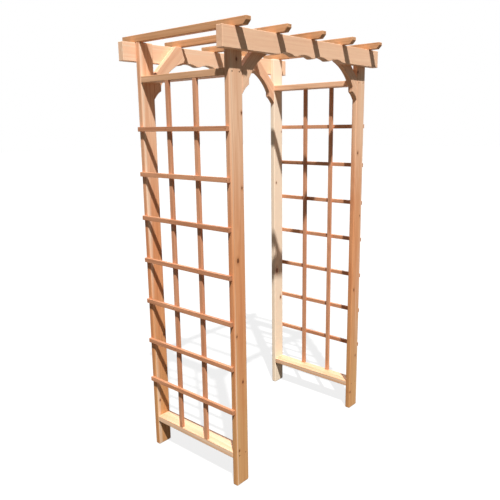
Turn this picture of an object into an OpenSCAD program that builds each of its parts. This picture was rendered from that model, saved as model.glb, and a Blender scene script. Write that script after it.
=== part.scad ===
// Cedar garden arbor: an open walk-through frame of four posts, two scalloped headers, four curved
// corner braces, five rafters and two ladder-like side panels.
// X runs across the opening, left to right. Y runs through it, front to rear. Z is up from the ground.
// The origin is on the ground, at the middle of the four posts.

/* [Overall] */
// Height from the ground to the top of the rafters
overall_h = 2134; // [1800:2:2560]
// Clear width of the opening, between the left and right posts
opening_w = 930; // [780:2:1120]
// Depth of a side panel, over the outer faces of its front and rear posts
panel_depth = 612; // [510:2:740]

/* [Posts] */
// Width of a post, along X
post_w = 82; // [66:1:100]
// Thickness of a post, a rail or a brace
board_t = 30; // [24:1:40]

/* [Headers] */
// Height of a header
header_h = 88; // [72:1:110]
// Thickness of a header
header_t = 36; // [28:1:44]
// Length of header beyond the outer edge of a post
header_overhang = 72; // [40:1:120]
// Depth of the concave cuts in the lower edge
scallop_depth = 12; // [6:1:18]
// Share of each bay of the scalloped edge that is concave
scallop_share = 0.74; // [0.6:0.02:0.84]
// Distance the scalloped edge runs on past the ends of the braces
scallop_run_on = 12; // [0:1:24]

/* [Rafters] */
// Width of a rafter, along X
rafter_w = 31; // [24:1:45]
// Height of a rafter
rafter_h = 33; // [28:1:50]
// Length of rafter beyond the face of a header
rafter_overhang = 62; // [40:1:100]
// Height of the upright end of a rafter, above the 45 degree cut under it
rafter_nose = 16; // [10:1:24]

/* [Braces] */
// Distance down the post cut off by the straight edge
brace_heel = 150; // [110:1:170]
// Length of the top edge of a brace
brace_top_len = 36; // [24:1:60]
// Length of that top edge that lies under the rafter next to the post
brace_bearing = 2.25; // [1:0.25:12]
// Distance the end of a brace reaches out beyond its top edge
brace_nose_out = 21; // [12:1:40]
// Depth of that furthest point below the top of the header
brace_reach_drop = 62; // [50:1:70]
// Width of the lip near the post
brace_lip = 44; // [36:1:60]
// Depth of the foot of the brace below the top of the header
brace_toe_drop = 262; // [245:1:300]

/* [Side panels] */
// Height of the underside of the bottom rail
bottom_rail_z = 141; // [80:1:220]
// Distance from the top of the top rail up to the top of the header
top_rail_drop = 157; // [120:1:220]
// Height of a slat, and width of an upright
slat_w = 22; // [18:1:32]
// Thickness of a slat or an upright
slat_t = 16; // [12:1:22]
// Distance the slats stop short of the faces of the posts
slat_setback = 6; // [0:1:14]

/* [Hidden] */

LEFT = -1;
RIGHT = 1;
FRONT = -1;
REAR = 1;

post_in_x = opening_w / 2;
post_out_x = post_in_x + post_w;
post_face_y = panel_depth / 2;
header_face_y = post_face_y + header_t;
header_top_z = overall_h - rafter_h;
header_half_len = post_out_x + header_overhang;

// The outermost rafters are flush with the outer edges of the posts.
rafter_count = 5;
rafter_half_len = header_face_y + rafter_overhang;
rafter_pitch = 2 * (post_out_x - rafter_w / 2) / (rafter_count - 1);

// The top edge of a brace ends a little way under the first rafter that is clear of the post.
brace_top_run = post_in_x - rafter_pitch - rafter_w / 2 + brace_bearing;
brace_reach = brace_top_run + brace_nose_out;

// Three rounded lobes hang between four concave cuts.
lobe_count = 3;
scallop_w = opening_w - 2 * (brace_reach - scallop_run_on);
bay_w = scallop_w / (lobe_count + 1);
bay_steps = 20;
// Slope angle where a concave arc runs into a lobe.
blend_angle = 2 * atan(2 * scallop_depth / bay_w);
cut_r = scallop_share * bay_w / 2 / sin(blend_angle);
lobe_r = (1 - scallop_share) * bay_w / 2 / sin(blend_angle);

// The hollow edge of a brace starts under the header and ends at the lip.
hollow_start = [brace_reach - 8, -(brace_reach_drop + 14)];
hollow_end = [brace_lip, -0.75 * brace_toe_drop];
lip_end = [brace_lip - 1, -0.845 * brace_toe_drop];
hollow_sag = 19;
toe_sag = 4;
brace_steps = 24;

// Seven slats divide the height between the rails evenly, and two uprights divide its length.
slat_count = 7;
upright_count = 2;
panel_base_z = bottom_rail_z + board_t;
panel_top_z = header_top_z - top_rail_drop - board_t;
slat_pitch = (panel_top_z - panel_base_z) / (slat_count + 1);
rail_half_len = post_face_y - board_t;
upright_pitch = 2 * rail_half_len / (upright_count + 1);

// Points of the arc from a to b that bulges by sag to the left of the way from a to b.
function arc_points(a, b, sag, steps) =
    let (
        chord = norm(b - a),
        along = (b - a) / chord,
        left = [-along.y, along.x],
        radius = (chord * chord / 4 + sag * sag) / (2 * sag),
        half_angle = asin(chord / 2 / radius),
        centre = (a + b) / 2 - left * (radius - sag)
    )
    [for (i = [0 : steps])
        let (angle = half_angle * (2 * i / steps - 1))
        centre + radius * (left * cos(angle) + along * sin(angle))];

// Rise of the scalloped edge at a distance from the middle of a concave cut.
function scallop_rise(from_cut) =
    from_cut < scallop_share * bay_w / 2
        ? scallop_depth - cut_r + sqrt(cut_r * cut_r - from_cut * from_cut)
        : lobe_r - sqrt(lobe_r * lobe_r - pow(bay_w / 2 - from_cut, 2));

scallop_points = [
    for (bay = [0 : lobe_count])
        for (i = [0 : bay_steps - (bay < lobe_count ? 1 : 0)])
            [-scallop_w / 2 + bay_w * (bay + i / bay_steps), scallop_rise(bay_w * abs(i / bay_steps - 0.5))]
];

// Draws its children at a corner or on a side, from a shape made for the front left corner.
module placed(side, face) {
    mirror([side == RIGHT ? 1 : 0, 0, 0])
        mirror([0, face == REAR ? 1 : 0, 0])
            children();
}

module post(side, face) {
    color("burlywood")
        placed(side, face)
            translate([-post_out_x, -post_face_y, 0])
                cube([post_w, board_t, header_top_z]);
}

module header(face) {
    color("burlywood")
        placed(LEFT, face)
            translate([0, -post_face_y, header_top_z - header_h])
                rotate([90, 0, 0])
                    linear_extrude(header_t)
                        polygon(concat(
                            [[header_half_len, 0], [header_half_len, header_h]],
                            [[-header_half_len, header_h], [-header_half_len, 0]],
                            scallop_points
                        ));
}

// The brace lies in the plane of the posts, behind the header, and reaches up to the rafters.
module brace(side, face) {
    color("tan")
        placed(side, face)
            translate([-post_in_x, -post_face_y + board_t, header_top_z])
                rotate([90, 0, 0])
                    linear_extrude(board_t)
                        polygon(concat(
                            [[0, -brace_heel], [brace_top_run - brace_top_len, 0], [brace_top_run, 0]],
                            [[brace_reach, -brace_reach_drop]],
                            arc_points(hollow_start, hollow_end, -hollow_sag, brace_steps),
                            arc_points(lip_end, [0, -brace_toe_drop], -toe_sag, brace_steps / 4)
                        ));
}

module rafter(number) {
    bevel = rafter_h - rafter_nose;
    color("peru")
        translate([(number - (rafter_count + 1) / 2) * rafter_pitch - rafter_w / 2, 0, header_top_z])
            rotate([90, 0, 90])
                linear_extrude(rafter_w)
                    polygon([
                        [-rafter_half_len, bevel],
                        [-rafter_half_len + bevel, 0],
                        [rafter_half_len - bevel, 0],
                        [rafter_half_len, bevel],
                        [rafter_half_len, rafter_h],
                        [-rafter_half_len, rafter_h]
                    ]);
}

module rail(side, base_z) {
    color("tan")
        placed(side, FRONT)
            translate([-post_out_x, -rail_half_len, base_z])
                cube([post_w, 2 * rail_half_len, board_t]);
}

module upright(side, face) {
    color("peru")
        placed(side, face)
            translate([-post_out_x, -upright_pitch / 2 - slat_w / 2, panel_base_z])
                cube([slat_t, slat_w, panel_top_z - panel_base_z]);
}

// Slats are counted from the top and lie on the outer edges of the posts and the uprights.
module slat(side, number) {
    half_len = post_face_y - slat_setback;
    color("peru")
        placed(side, FRONT)
            translate([-post_out_x - slat_t, -half_len, panel_top_z - number * slat_pitch - slat_w / 2])
                cube([slat_t, 2 * half_len, slat_w]);
}

post(LEFT, FRONT);  // front_left_post
post(RIGHT, FRONT);  // front_right_post
post(LEFT, REAR);  // rear_left_post
post(RIGHT, REAR);  // rear_right_post
header(FRONT);  // front_header
header(REAR);  // rear_header
brace(LEFT, FRONT);  // front_left_brace
brace(RIGHT, FRONT);  // front_right_brace
brace(LEFT, REAR);  // rear_left_brace
brace(RIGHT, REAR);  // rear_right_brace
rafter(1);  // rafter_1
rafter(2);  // rafter_2
rafter(3);  // rafter_3
rafter(4);  // rafter_4
rafter(5);  // rafter_5
rail(LEFT, panel_top_z);  // left_top_rail
rail(LEFT, bottom_rail_z);  // left_bottom_rail
rail(RIGHT, panel_top_z);  // right_top_rail
rail(RIGHT, bottom_rail_z);  // right_bottom_rail
upright(LEFT, FRONT);  // left_front_upright
upright(LEFT, REAR);  // left_rear_upright
upright(RIGHT, FRONT);  // right_front_upright
upright(RIGHT, REAR);  // right_rear_upright
slat(LEFT, 1);  // left_slat_1
slat(LEFT, 2);  // left_slat_2
slat(LEFT, 3);  // left_slat_3
slat(LEFT, 4);  // left_slat_4
slat(LEFT, 5);  // left_slat_5
slat(LEFT, 6);  // left_slat_6
slat(LEFT, 7);  // left_slat_7
slat(RIGHT, 1);  // right_slat_1
slat(RIGHT, 2);  // right_slat_2
slat(RIGHT, 3);  // right_slat_3
slat(RIGHT, 4);  // right_slat_4
slat(RIGHT, 5);  // right_slat_5
slat(RIGHT, 6);  // right_slat_6
slat(RIGHT, 7);  // right_slat_7
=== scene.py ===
"""Cedar garden arbor: four posts, two scalloped headers, four curved braces, five rafters and two
ladder-like side panels. Each board is remade from its CAD solid with eased edges, nail and screw
heads and drying checks, and its cedar follows the board's own grain.

Lengths are in metres. X runs across the opening, Y from front to rear, Z up."""

import math
from random import Random

import bmesh
import bpy
from mathutils import Euler, Matrix, Vector

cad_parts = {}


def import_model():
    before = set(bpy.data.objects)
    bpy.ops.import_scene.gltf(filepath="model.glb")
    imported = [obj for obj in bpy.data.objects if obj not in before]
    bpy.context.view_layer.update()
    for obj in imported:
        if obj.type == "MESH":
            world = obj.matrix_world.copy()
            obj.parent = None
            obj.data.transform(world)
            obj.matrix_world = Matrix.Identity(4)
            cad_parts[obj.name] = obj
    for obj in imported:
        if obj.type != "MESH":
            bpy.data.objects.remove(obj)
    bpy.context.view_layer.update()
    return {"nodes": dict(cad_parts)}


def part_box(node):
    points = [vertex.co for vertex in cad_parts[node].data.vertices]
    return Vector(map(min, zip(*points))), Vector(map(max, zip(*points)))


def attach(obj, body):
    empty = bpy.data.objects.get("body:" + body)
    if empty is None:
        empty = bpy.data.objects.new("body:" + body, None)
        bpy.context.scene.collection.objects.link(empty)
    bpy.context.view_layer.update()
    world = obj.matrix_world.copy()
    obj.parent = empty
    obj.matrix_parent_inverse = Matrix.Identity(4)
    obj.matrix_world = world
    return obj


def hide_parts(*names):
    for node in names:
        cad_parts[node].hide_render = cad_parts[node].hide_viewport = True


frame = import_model()

MM = 0.001
X, Y, Z = Vector((1, 0, 0)), Vector((0, 1, 0)), Vector((0, 0, 1))


# ---------------------------------------------------------------- shader helpers


class Tree:
    """Adds nodes to a material or world and joins them."""

    def __init__(self, owner):
        owner.use_nodes = True
        self.tree = owner.node_tree
        self.tree.nodes.clear()

    def add(self, kind, inputs=None, **settings):
        """A new node. Its inputs are given as sockets to join or as plain values."""
        node = self.tree.nodes.new(kind)
        for name, value in settings.items():
            setattr(node, name, value)
        for name, value in (inputs or {}).items():
            if isinstance(value, bpy.types.NodeSocket):
                self.tree.links.new(value, node.inputs[name])
            elif value is not None:
                node.inputs[name].default_value = value
        return node

    def attribute(self, name):
        return self.add("ShaderNodeAttribute", attribute_name=name).outputs["Vector"]

    def math(self, operation, a, b=None, clamp=False):
        made = self.add("ShaderNodeMath", {0: a, 1: b}, operation=operation, use_clamp=clamp)
        return made.outputs[0]

    def total(self, *terms, clamp=False):
        """The sum of (value, weight) pairs. A weight of None leaves its value as it is."""
        result = None
        for count, (value, weight) in enumerate(terms, 1):
            part = value if weight is None else self.math("MULTIPLY", value, weight)
            is_last = count == len(terms)
            result = part if result is None else self.math("ADD", result, part, clamp and is_last)
        return result

    def vector(self, operation, a, b=None):
        made = self.add("ShaderNodeVectorMath", {0: a, 1: b}, operation=operation)
        return made.outputs["Value" if operation == "LENGTH" else "Vector"]

    def noise(self, at, scale, detail=2.0, roughness=0.5):
        inputs = {"Vector": at, "Scale": scale, "Detail": detail, "Roughness": roughness}
        return self.add("ShaderNodeTexNoise", inputs).outputs["Fac"]

    def drawn(self, grain, along, across, detail, roughness=0.5):
        """Noise with one scale along the board and another, finer one across it."""
        at = self.vector("MULTIPLY", grain, (along, across, across))
        return self.noise(at, 1.0, detail, roughness)

    def swing(self, noise, amount):
        """Noise moved to swing about zero, by up to half the amount each way."""
        return self.math("MULTIPLY", self.math("SUBTRACT", noise, 0.5), amount)

    def smooth(self, value, low, high, to_low=0.0, to_high=1.0):
        inputs = {
            "Value": value, "From Min": low, "From Max": high, "To Min": to_low, "To Max": to_high,
        }
        made = self.add("ShaderNodeMapRange", inputs, interpolation_type="SMOOTHSTEP")
        return made.outputs["Result"]

    def mix(self, share, a, b, blend="MIX"):
        """Mixes two colours. The mix node's colour inputs are numbered 6 and 7."""
        made = self.add("ShaderNodeMix", data_type="RGBA", blend_type=blend)
        for index, value in ((0, share), (6, a), (7, b)):
            if isinstance(value, bpy.types.NodeSocket):
                self.tree.links.new(value, made.inputs[index])
            else:
                made.inputs[index].default_value = value
        return made.outputs[2]


def linear(red, green, blue):
    """A colour given in the usual 0 to 255 steps."""
    values = []
    for step in (red, green, blue):
        share = step / 255
        values.append(share / 12.92 if share <= 0.04045 else ((share + 0.055) / 1.055) ** 2.4)
    return (*values, 1.0)


# ---------------------------------------------------------------- wood

CREAM = linear(255, 239, 216)
KNOT = linear(92, 50, 28)
KNOT_HALO = linear(176, 108, 62)

# The wood is multiplied by these further down the arbor, between two heights: a deeper orange, and
# a faint green that is painted light bounced up from the ground.
DEEP, DEEP_HEIGHTS = (0.82, 0.57, 0.385, 1.0), (1.05, 1.85)
PAINTED_BOUNCE, PAINTED_BOUNCE_HEIGHTS = (0.85, 1.0, 0.90, 1.0), (0.15, 1.0)

RING_WIDTH = 3.1 * MM
RING_WANDER = 20 * MM
KNOT_BEND = 10 * MM
BUMP_DEPTH = 0.5 * MM


def knots_in(t, grain, knot_at):
    """The distance from the nearest knot in knot widths, and the masks of the knot and its halo."""
    away = t.vector("LENGTH", t.vector("MULTIPLY", knot_at, (0.6, 1.0, 1.0)))
    ragged = t.math("ADD", away, t.math("MULTIPLY", t.noise(grain, 260.0), 0.5))
    knot = t.smooth(ragged, 1.05, 1.4, 1.0, 0.0)
    halo = t.smooth(ragged, 1.1, 3.2, 1.0, 0.0)
    return away, knot, halo


def rings_in(t, grain, knot_away):
    """The dark late wood that ends each ring, and the slower change from year to year. The rings
    go round the heart, wander slowly along the board, and bend round a knot."""
    knot_bend = t.math(
        "DIVIDE", KNOT_BEND, t.math("ADD", t.math("MULTIPLY", knot_away, knot_away), 1.0)
    )
    wander = t.swing(t.drawn(grain, 1.3, 7.0, 1.0), RING_WANDER)
    from_heart = t.vector("LENGTH", t.vector("MULTIPLY", grain, (0.0, 1.0, 1.0)))
    radius = t.math("ADD", from_heart, t.math("ADD", wander, knot_bend))
    phase = t.math("FRACT", t.math("MULTIPLY", radius, 1 / RING_WIDTH))
    late = t.math("MULTIPLY", t.smooth(phase, 0.30, 0.88), t.smooth(phase, 0.90, 1.0, 1.0, 0.0))
    year_at = t.add("ShaderNodeCombineXYZ", {0: radius, 1: t.math("MULTIPLY", wander, 6.0)})
    year = t.noise(year_at.outputs[0], 95.0, 2.0, 0.6)
    return late, year


def lower_down(t, colour, height, deepens):
    """The wood is a deeper orange further down, and a little greener near the ground, where green
    light bounced up from the ground is painted on.
    """
    for tint, (low, high) in ((DEEP, DEEP_HEIGHTS), (PAINTED_BOUNCE, PAINTED_BOUNCE_HEIGHTS)):
        share = t.math("MULTIPLY", t.smooth(height, low, high, 1.0, 0.0), deepens)
        # The second tint is painted light: green bounced up from the ground.
        colour = t.mix(share, colour, tint, "MULTIPLY")
    return colour


def wood(slot, pale, dark, figure, deepens):
    """Planed cedar between a pale and a dark colour. Figure is the strength of its rings and
    streaks, and deepens is how far it takes on the deeper colours lower down and the painted
    bounce light near the ground.

    The boards carry their own directions in three corner attributes: grain, in metres from the
    heart of the tree, knot, in knot widths from the nearest knot, and tone, which is the board's
    shade, its share of cream sapwood, and 1 on an end. On a post's narrow sides the shade is
    raised and the cream lowered, as painted shade."""
    material = bpy.data.materials.new(slot + "_cedar")
    t = Tree(material)
    grain = t.attribute("grain")
    tone = t.add("ShaderNodeSeparateXYZ", {0: t.attribute("tone")})
    shade, cream_share, end = tone.outputs[0], tone.outputs[1], tone.outputs[2]
    knot_away, knot, halo = knots_in(t, grain, t.attribute("knot"))
    late, year = rings_in(t, grain, knot_away)

    # Fine fibres, wider streaks, short dark flecks and soft blotches, drawn out along the board.
    fibre = t.drawn(grain, 5.0, 520.0, 3.0, 0.62)
    streak = t.drawn(grain, 1.1, 70.0, 2.0, 0.55)
    fleck = t.smooth(t.drawn(grain, 26.0, 640.0, 1.0), 0.68, 0.80)
    blotch = t.drawn(grain, 2.2, 11.0, 2.0)

    amount = t.total(
        (late, 0.34 * figure),
        (t.smooth(year, 0.30, 0.72), 0.40 * figure),
        (t.smooth(streak, 0.32, 0.70), 0.34 * figure),
        (t.swing(fibre, 0.55), None),
        (fleck, 0.30),
        (t.swing(blotch, 0.5), None),
        (shade, None),
        clamp=True,
    )
    colour = t.mix(amount, pale, dark)

    place = t.add("ShaderNodeTexCoord").outputs["Object"]
    height = t.add("ShaderNodeSeparateXYZ", {0: place}).outputs[2]
    colour = lower_down(t, colour, t.math("ADD", height, t.swing(streak, 0.5)), deepens)

    # Cream sapwood, with an edge that the streaks break up.
    sap_edge = t.math("ADD", t.swing(streak, 0.9), cream_share)
    sap = t.math("MULTIPLY", t.smooth(sap_edge, 0.35, 0.75), 0.82)
    colour = t.mix(sap, colour, t.mix(t.math("MULTIPLY", amount, 0.45), CREAM, pale))

    # End grain is a shade darker.
    colour = t.mix(t.math("MULTIPLY", end, 0.16), colour, dark)

    # A knot has its own rings, and darkens the wood about it.
    knot_rings = t.math("ADD", t.math("SINE", t.math("MULTIPLY", knot_away, 17.0)), 1.0)
    knot_colour = t.mix(t.math("MULTIPLY", knot_rings, 0.22), KNOT, KNOT_HALO)
    colour = t.mix(t.math("MULTIPLY", halo, 0.42), colour, KNOT_HALO)
    colour = t.mix(knot, colour, knot_colour)

    rough = t.total((fibre, 0.22), (0.52, None), (late, -0.06), clamp=True)
    relief = t.total((fibre, 0.8), (late, 0.35), (fleck, -0.5), (knot, -0.3))
    bump = t.add("ShaderNodeBump", {"Strength": 0.45, "Distance": BUMP_DEPTH, "Height": relief})
    shader = t.add("ShaderNodeBsdfPrincipled", {
        "Base Color": colour,
        "Roughness": rough,
        "Normal": bump.outputs[0],
        "Specular IOR Level": 0.22,
    })
    t.add("ShaderNodeOutputMaterial", {"Surface": shader.outputs[0]})
    return material


def steel():
    """Zinc-plated heads, dulled by weather and touched by rust."""
    material = bpy.data.materials.new("zinc")
    t = Tree(material)
    at = t.add("ShaderNodeTexCoord").outputs["Object"]
    mottle = t.noise(at, 420.0, 3.0, 0.6)
    rust = t.smooth(t.noise(at, 150.0, 3.0, 0.6), 0.52, 0.72)
    colour = t.mix(mottle, linear(92, 88, 84), linear(150, 144, 136))
    colour = t.mix(t.math("MULTIPLY", rust, 0.75), colour, linear(104, 62, 38))
    rough = t.total((mottle, 0.3), (0.35, None))
    shader = t.add(
        "ShaderNodeBsdfPrincipled", {"Base Color": colour, "Roughness": rough, "Metallic": 0.6}
    )
    t.add("ShaderNodeOutputMaterial", {"Surface": shader.outputs[0]})
    return material


WOODS = {
    "post": wood("post", linear(252, 212, 178), linear(219, 158, 118), 1.0, 0.95),
    "header": wood("header", linear(252, 210, 176), linear(228, 168, 130), 0.5, 0.0),
    "brace": wood("brace", linear(252, 212, 178), linear(220, 158, 120), 0.8, 0.0),
    "rafter": wood("rafter", linear(232, 180, 136), linear(184, 126, 80), 0.8, 0.0),
    "rail": wood("rail", linear(248, 202, 166), linear(196, 144, 100), 0.9, 0.1),
    "upright": wood("upright", linear(228, 172, 136), linear(176, 112, 76), 0.8, 0.2),
    "slat": wood("slat", linear(222, 164, 126), linear(166, 102, 66), 0.8, 0.1),
}
ZINC = steel()

# ---------------------------------------------------------------- what each board is

# The directions along, across and through each kind of board.
LIES = {
    "post": (Z, X, Y),
    "header": (X, Z, Y),
    "brace": ((X + Z).normalized(), (X - Z).normalized(), Y),
    "rafter": (Y, Z, X),
    "rail": (Y, X, Z),
    "upright": (Z, Y, X),
    "slat": (Y, Z, X),
}

# How far the edges are eased, in millimetres.
EASE = {
    "post": 5.5, "header": 2.6, "brace": 2.4, "rafter": 2.2, "rail": 2.4, "upright": 1.3,
    "slat": 1.3,
}

# Where a board has its own: its shade, its share of cream sapwood, and how much that share grows
# from the middle of the board to its edge, on a post the edge on the outside of the arbor.
TONES = {
    "front_left_post": (-0.10, 0.0, 0.62),
    "front_right_post": (-0.16, 0.32, 0.20),
    "rear_left_post": (-0.06, 0.08, 0.66),
    "rear_right_post": (-0.64, 1.25, 0.0),
    "front_header": (-0.02, 0.16, 0.0),
    "rear_header": (-0.22, 0.42, 0.0),
    "front_left_brace": (-0.02, 0.30, 0.0),
    "front_right_brace": (0.04, 0.20, 0.0),
    "rear_left_brace": (-0.02, 0.16, 0.0),
    "rear_right_brace": (0.02, 0.26, 0.0),
    "left_bottom_rail": (-0.08, 0.44, 0.0),
    "left_top_rail": (0.06, 0.12, 0.0),
    "right_top_rail": (-0.30, 0.06, 0.0),
    "right_bottom_rail": (-0.08, 0.38, 0.0),
}

# Knots: the distance along the board, which is the height on a post and is from the middle on a
# header, the distance across from the middle, and half the width, all in millimetres.
KNOTS = {
    "front_left_post": [
        (1979, 5, 5), (1760, 31, 4), (1439, 26, 4), (1116, -8, 7), (762, -25, 4), (527, 10, 5),
        (183, -23, 4),
    ],
    "front_right_post": [
        (1984, -34, 5), (1550, -16, 5), (1190, 22, 3), (752, -21, 5), (330, 14, 4),
        (105, -34, 4),
    ],
    "rear_left_post": [(620, 24, 5), (257, -23, 4)],
    "rear_right_post": [(1668, 30, 3), (1352, -22, 4), (778, -20, 10), (588, 17, 6)],
    "front_header": [(655, 20, 3)],
    "rear_header": [(352, 4, 4)],
}
NO_KNOT = Vector((99, 99, 0))

# Heads of the fixings: the radius, and the depth that they are sunk.
SCREW = (3.4 * MM, 0.5 * MM)
NAIL = (1.9 * MM, 0.25 * MM)
RAIL_SCREWS_ACROSS = (0.23, 0.77)

# Drying checks: only the kinds of board with wide enough ends have them.
CHECKED_KINDS = ("post", "header", "rafter", "rail")
TWO_CHECKS_ABOVE = 50 * MM
CHECK_HALF_WIDTH = 0.45 * MM
CHECK_DEPTH = 9 * MM
CHECK_OVERRUN = 0.6 * MM


def kind_of(node):
    return next(kind for kind in LIES if kind in node)


def side_of(node):
    """-1 on the left or at the front and 1 on the right or at the rear, as (x, y)."""
    return (-1 if "left" in node else 1, -1 if "front" in node else 1)


def lie_of(node):
    """The directions along, across and through a board. The right braces lean the other way."""
    kind = kind_of(node)
    along, across, through = LIES[kind]
    if kind == "brace" and side_of(node)[0] > 0:
        along, across = (Z - X).normalized(), (X + Z).normalized()
    return along, across, through


# ---------------------------------------------------------------- shapes


def solid(node):
    """The node's solid with each flat face whole, and its edges eased."""
    made = bmesh.new()
    made.from_mesh(frame["nodes"][node].data)
    bmesh.ops.remove_doubles(made, verts=made.verts, dist=0.01 * MM)
    bmesh.ops.dissolve_limit(
        made, angle_limit=math.radians(1), verts=made.verts, edges=made.edges
    )
    bmesh.ops.recalc_face_normals(made, faces=made.faces)
    turn = math.radians(28)
    sharp = [e for e in made.edges if len(e.link_faces) == 2 and e.calc_face_angle() > turn]
    bmesh.ops.bevel(
        made, geom=sharp, offset=EASE[kind_of(node)] * MM, segments=4, profile=0.5,
        affect="EDGES", clamp_overlap=True,
    )
    return made


def mesh_object(name, made):
    mesh = bpy.data.meshes.new(name)
    made.to_mesh(mesh)
    made.free()
    thing = bpy.data.objects.new(name, mesh)
    bpy.context.scene.collection.objects.link(thing)
    return thing


def facing(at, direction):
    """A place at a point, with its Z turned to a direction."""
    return Matrix.Translation(at) @ direction.to_track_quat("Z", "Y").to_matrix().to_4x4()


def add_lathe(made, place, rings, segments=16):
    """A closed turned shape about Z, given as (radius, height) from bottom to top, put in place."""
    loops = []
    for radius, height in rings:
        loop = []
        for i in range(segments):
            angle = math.tau * i / segments
            point = Vector((radius * math.cos(angle), radius * math.sin(angle), height))
            loop.append(made.verts.new(place @ point))
        loops.append(loop)
    for low, high in zip(loops, loops[1:]):
        for i in range(segments):
            j = (i + 1) % segments
            made.faces.new((low[i], low[j], high[j], high[i]))
    made.faces.new(list(reversed(loops[0])))
    made.faces.new(loops[-1])


def add_wedge(made, start, end, inward):
    """A thin wedge that opens a check in a board's end, from start to end, widest a little past
    the middle, with its sharp edge inside. It reaches just past the end, so that it cuts clean."""
    side = (end - start).normalized().cross(inward).normalized() * CHECK_HALF_WIDTH
    tips = []
    for point, share in ((start, 0.3), (start.lerp(end, 0.55), 1.0), (end, 0.15)):
        top = point - inward * CHECK_OVERRUN
        tips.append([
            made.verts.new(top + side * share),
            made.verts.new(top - side * share),
            made.verts.new(point + inward * CHECK_DEPTH * share),
        ])
    for a, b in zip(tips, tips[1:]):
        for i in range(3):
            j = (i + 1) % 3
            made.faces.new((a[i], a[j], b[j], b[i]))
    made.faces.new(list(reversed(tips[0])))
    made.faces.new(tips[-1])


def add_countersink(made, place, radius, sunk):
    """The hole for a head, cut from just above the board's face."""
    foot = (radius * 0.62, -2.4 * MM)
    seat = (radius * 1.06, -sunk - 0.5 * MM)
    mouth = (radius * 1.16, 0.4 * MM)
    add_lathe(made, place, [foot, seat, mouth])


def add_head(made, place, radius, sunk):
    """The slightly domed head of a screw or nail at the bottom of its countersink."""
    top = -sunk
    add_lathe(made, place, [
        (radius * 0.5, top - 1.6 * MM),
        (radius, top - 0.5 * MM),
        (radius * 0.97, top - 0.12 * MM),
        (radius * 0.7, top),
        (radius * 0.3, top),
    ])


def fixings(node):
    """(place, head radius, depth sunk) of each nail or screw that shows on a board."""
    kind = kind_of(node)
    lo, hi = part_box(node)
    side, face = side_of(node)
    panel = "left" if side < 0 else "right"
    found = []
    if kind == "post":
        outer_y = hi.y if face > 0 else lo.y
        for rail in ("top_rail", "bottom_rail"):
            rail_lo, rail_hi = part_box(f"{panel}_{rail}")
            height = (rail_lo.z + rail_hi.z) / 2
            for share in RAIL_SCREWS_ACROSS:
                at = Vector((lo.x + (hi.x - lo.x) * share, outer_y, height))
                found.append((facing(at, Y * face), *SCREW))
    elif kind == "slat":
        outer_x = hi.x if side > 0 else lo.x
        height = (lo.z + hi.z) / 2
        for behind in (
            f"front_{panel}_post", f"{panel}_front_upright", f"{panel}_rear_upright",
            f"rear_{panel}_post",
        ):
            behind_lo, behind_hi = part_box(behind)
            at = Vector((outer_x, (behind_lo.y + behind_hi.y) / 2, height))
            found.append((facing(at, X * side), *NAIL))
    elif kind == "rafter":
        for header in ("front_header", "rear_header"):
            header_lo, header_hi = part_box(header)
            at = Vector(((lo.x + hi.x) / 2, (header_lo.y + header_hi.y) / 2, hi.z))
            found.append((facing(at, Z), *SCREW))
    return found


def checks(node, random):
    """Wedges for the drying checks in the ends of a board. A post has them in its foot only."""
    kind = kind_of(node)
    made = bmesh.new()
    if kind not in CHECKED_KINDS:
        return made
    lo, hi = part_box(node)
    along, across, through = lie_of(node)
    size = hi - lo
    long, wide, thick = (abs(size.dot(way)) for way in (along, across, through))
    for end in (-1,) if kind == "post" else (-1, 1):
        for _ in range(2 if wide > TWO_CHECKS_ABOVE else 1):
            place = (lo + hi) / 2 + along * (end * long / 2)
            spread = 1
            if kind == "rafter":
                # Only the upright nose above the bevel is at the full length.
                place += across * wide * 0.22
                spread = 0.4
            at = place + across * (random.uniform(-0.3, 0.3) * wide * spread)
            at += through * random.uniform(-0.2, 0.2) * thick
            turn = Matrix.Rotation(random.uniform(-0.9, 0.9), 3, along)
            line = turn @ through * thick * random.uniform(0.16, 0.3)
            add_wedge(made, at - line, at + line, -along * end)
    return made


def cut(piece, cutters):
    """Takes the closed cutters away from a piece, and frees them. Two checks may cross, hence
    use_self."""
    bmesh.ops.recalc_face_normals(cutters, faces=cutters.faces)
    cutter = mesh_object("cutter", cutters)
    change = piece.modifiers.new("cut", "BOOLEAN")
    change.operation, change.solver, change.object = "DIFFERENCE", "EXACT", cutter
    change.use_self = True
    graph = bpy.context.evaluated_depsgraph_get()
    shaped = bpy.data.meshes.new_from_object(piece.evaluated_get(graph))
    piece.modifiers.clear()
    piece.data = shaped
    bpy.data.objects.remove(cutter)


# ---------------------------------------------------------------- boards


def knots_of(node, made):
    """(place, half width) of each knot, from one end of the board to the other. The mesh is split
    halfway between neighbours, so that each face has one nearest knot."""
    along, across, _ = lie_of(node)
    lo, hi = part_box(node)
    base = (lo + hi) / 2
    if kind_of(node) == "post":
        base.z = 0
    knots = [
        (base + along * (far * MM) + across * (aside * MM), half * MM)
        for far, aside, half in KNOTS.get(node, [])
    ]
    knots.sort(key=lambda knot: knot[0].dot(along))
    for (low, _), (high, _) in zip(knots, knots[1:]):
        everything = made.verts[:] + made.edges[:] + made.faces[:]
        bmesh.ops.bisect_plane(
            made, geom=everything, plane_co=(low + high) / 2, plane_no=along
        )
    return knots


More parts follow.
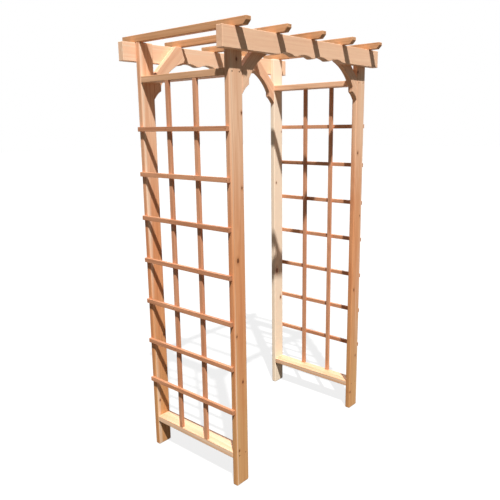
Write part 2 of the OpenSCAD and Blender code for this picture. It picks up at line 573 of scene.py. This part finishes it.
def mark(node, made, knots, random):
    """Writes the corner attributes that the wood reads: grain, knot and tone."""
    along, across, through = lie_of(node)
    lo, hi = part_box(node)
    middle = (lo + hi) / 2
    is_post = kind_of(node) == "post"
    plain = (random.uniform(-0.10, 0.14), random.uniform(0.0, 0.22), 0.0)
    shade, cream, cream_growth = TONES.get(node, plain)
    half_wide = max(abs((hi - lo).dot(across)) / 2, MM)
    outward = across * (side_of(node)[0] if is_post else 1)

    # The heart of the tree runs nearly along the board, outside it, and crosses it slowly.
    heart_turn = random.uniform(0.15, 0.85) * math.pi
    heart = across * math.cos(heart_turn) + through * math.sin(heart_turn)
    heart_at = middle - heart * random.uniform(45, 110) * MM
    tip = Matrix.Rotation(math.radians(random.uniform(-0.8, 0.8)), 3, across)
    swerve = Matrix.Rotation(math.radians(random.uniform(-0.8, 0.8)), 3, through)
    grain_ways = [tip @ swerve @ way for way in (along, across, through)]
    start = Vector((random.uniform(0, 60), 0, 0))

    grain_layer = made.loops.layers.float_vector.new("grain")
    knot_layer = made.loops.layers.float_vector.new("knot")
    tone_layer = made.loops.layers.float_vector.new("tone")
    for face in made.faces:
        is_end = 1.0 if abs(face.normal.dot(along)) > 0.8 else 0.0
        # On a post, the narrow sides get painted shade: they are darker and less cream than the
        # wide faces.
        painted_side_shade = 0.22 * abs(face.normal.dot(across)) if is_post else 0.0
        centre = face.calc_center_median()
        nearest = min(knots, key=lambda knot: abs((knot[0] - centre).dot(along)), default=None)
        for corner in face.loops:
            point = corner.vert.co
            from_heart = Vector([(point - heart_at).dot(way) for way in grain_ways])
            corner[grain_layer] = from_heart + start
            if nearest:
                away = (point - nearest[0]) / nearest[1]
                corner[knot_layer] = Vector((away.dot(along), away.dot(across), 0))
            else:
                corner[knot_layer] = NO_KNOT
            sap = cream + cream_growth * (point - middle).dot(outward) / half_wide
            corner[tone_layer] = Vector((shade + painted_side_shade, sap - 2 * painted_side_shade, is_end))


def board(node):
    """Stands for a CAD node: its solid, eased and cut, with its cedar and the heads in it."""
    kind = kind_of(node)
    random = Random("cedar " + node)
    piece = mesh_object("cedar_" + node, solid(node))
    heads = fixings(node)
    cutters = checks(node, random)
    for place, radius, sunk in heads:
        add_countersink(cutters, place, radius, sunk)
    if len(cutters.verts):
        cut(piece, cutters)
    else:
        cutters.free()

    made = bmesh.new()
    made.from_mesh(piece.data)
    mark(node, made, knots_of(node, made), random)
    wood_faces = len(made.faces)
    for place, radius, sunk in heads:
        add_head(made, place, radius, sunk)
    made.faces.ensure_lookup_table()
    for face in made.faces[wood_faces:]:
        face.material_index = 1
    for face in made.faces:
        face.smooth = True
    made.to_mesh(piece.data)
    made.free()

    piece.data.materials.clear()
    piece.data.materials.append(WOODS[kind])
    if heads:
        piece.data.materials.append(ZINC)
    piece.data.set_sharp_from_angle(angle=math.radians(38))
    keep_flat = piece.modifiers.new("flat_faces", "WEIGHTED_NORMAL")
    keep_flat.keep_sharp, keep_flat.mode, keep_flat.weight = True, "FACE_AREA", 100
    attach(piece, "root")
    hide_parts(node)


for name in sorted(frame["nodes"]):
    board(name)

# ---------------------------------------------------------------- floor, light and camera

FLOOR_SIZE = 40.0
FLOOR_DROP = 0.5 * MM
FLOOR_SEEN = linear(236, 236, 236)
FLOOR_BOUNCE = linear(84, 78, 68)
FLOOR_GLOW = 0.80

SKY_COLOUR, SKY_STRENGTH = (0.96, 0.98, 1.0, 1), 0.14
WHITE = (1, 1, 1, 1)

CAMERA_AT = (-2.3217, -1.9829, 1.7029)
CAMERA_HEADING, CAMERA_DOWN, CAMERA_ROLL = 48.814, 12.136, -0.731
CAMERA_LENS, CAMERA_SENSOR = 40.80, 36.0
CAMERA_SHIFT = (-0.00786, -0.0033)


def seen(t):
    """1 where a ray comes from the camera, or from a reflection or refraction of it."""
    path = t.add("ShaderNodeLightPath")
    first = t.math("MAXIMUM", path.outputs["Is Camera Ray"], path.outputs["Is Glossy Ray"])
    return t.math("MAXIMUM", first, path.outputs["Is Transmission Ray"])


def floor():
    """A pale floor that keeps the shadow, and throws little light back up at the arbor."""
    made = bmesh.new()
    bmesh.ops.create_grid(made, x_segments=8, y_segments=8, size=FLOOR_SIZE)
    ground = mesh_object("floor", made)
    ground.location.z = -FLOOR_DROP
    material = bpy.data.materials.new("pale_floor")
    t = Tree(material)
    watched = seen(t)
    colour = t.mix(watched, FLOOR_BOUNCE, FLOOR_SEEN)
    matt = t.add("ShaderNodeBsdfDiffuse", {"Color": colour})
    glow = t.add("ShaderNodeEmission", {"Color": WHITE, "Strength": 1.0})
    share = t.math("MULTIPLY", watched, FLOOR_GLOW)
    both = t.add("ShaderNodeMixShader", {0: share, 1: matt.outputs[0], 2: glow.outputs[0]})
    t.add("ShaderNodeOutputMaterial", {"Surface": both.outputs[0]})
    ground.data.materials.append(material)


def sun(name, travels, strength, soft_degrees, colour):
    data = bpy.data.lights.new(name, "SUN")
    data.energy, data.angle, data.color = strength, math.radians(soft_degrees), colour
    lamp = bpy.data.objects.new(name, data)
    lamp.rotation_euler = Vector(travels).to_track_quat("-Z", "Y").to_euler()
    bpy.context.scene.collection.objects.link(lamp)


def world():
    """A dim, even sky that is seen as white."""
    sky = bpy.data.worlds.new("studio")
    bpy.context.scene.world = sky
    t = Tree(sky)
    soft = t.add("ShaderNodeBackground", {"Color": SKY_COLOUR, "Strength": SKY_STRENGTH})
    white = t.add("ShaderNodeBackground", {"Color": WHITE, "Strength": 1.0})
    both = t.add("ShaderNodeMixShader", {0: seen(t), 1: soft.outputs[0], 2: white.outputs[0]})
    t.add("ShaderNodeOutputWorld", {"Surface": both.outputs[0]})


def camera():
    """The photograph's view, solved from the straight edges of the posts, header and rafters."""
    data = bpy.data.cameras.new("camera")
    data.sensor_width, data.lens = CAMERA_SENSOR, CAMERA_LENS
    data.shift_x, data.shift_y = CAMERA_SHIFT
    made = bpy.data.objects.new("camera", data)
    pitch = math.radians(90 - CAMERA_DOWN)
    aim = Euler((pitch, 0, math.radians(-CAMERA_HEADING))).to_matrix()
    roll = Matrix.Rotation(math.radians(CAMERA_ROLL), 3, "Z")
    made.matrix_world = Matrix.Translation(CAMERA_AT) @ (aim @ roll).to_4x4()
    bpy.context.scene.collection.objects.link(made)
    bpy.context.scene.camera = made


floor()
world()
sun("key", (0.85, 1.0, -2.07), 5.3, 1.2, (1.0, 0.985, 0.96))
sun("back_fill", (-0.8, -0.7, -0.45), 1.7, 60.0, (1.0, 1.0, 1.0))
camera()
bpy.context.scene.view_settings.view_transform = "Standard"
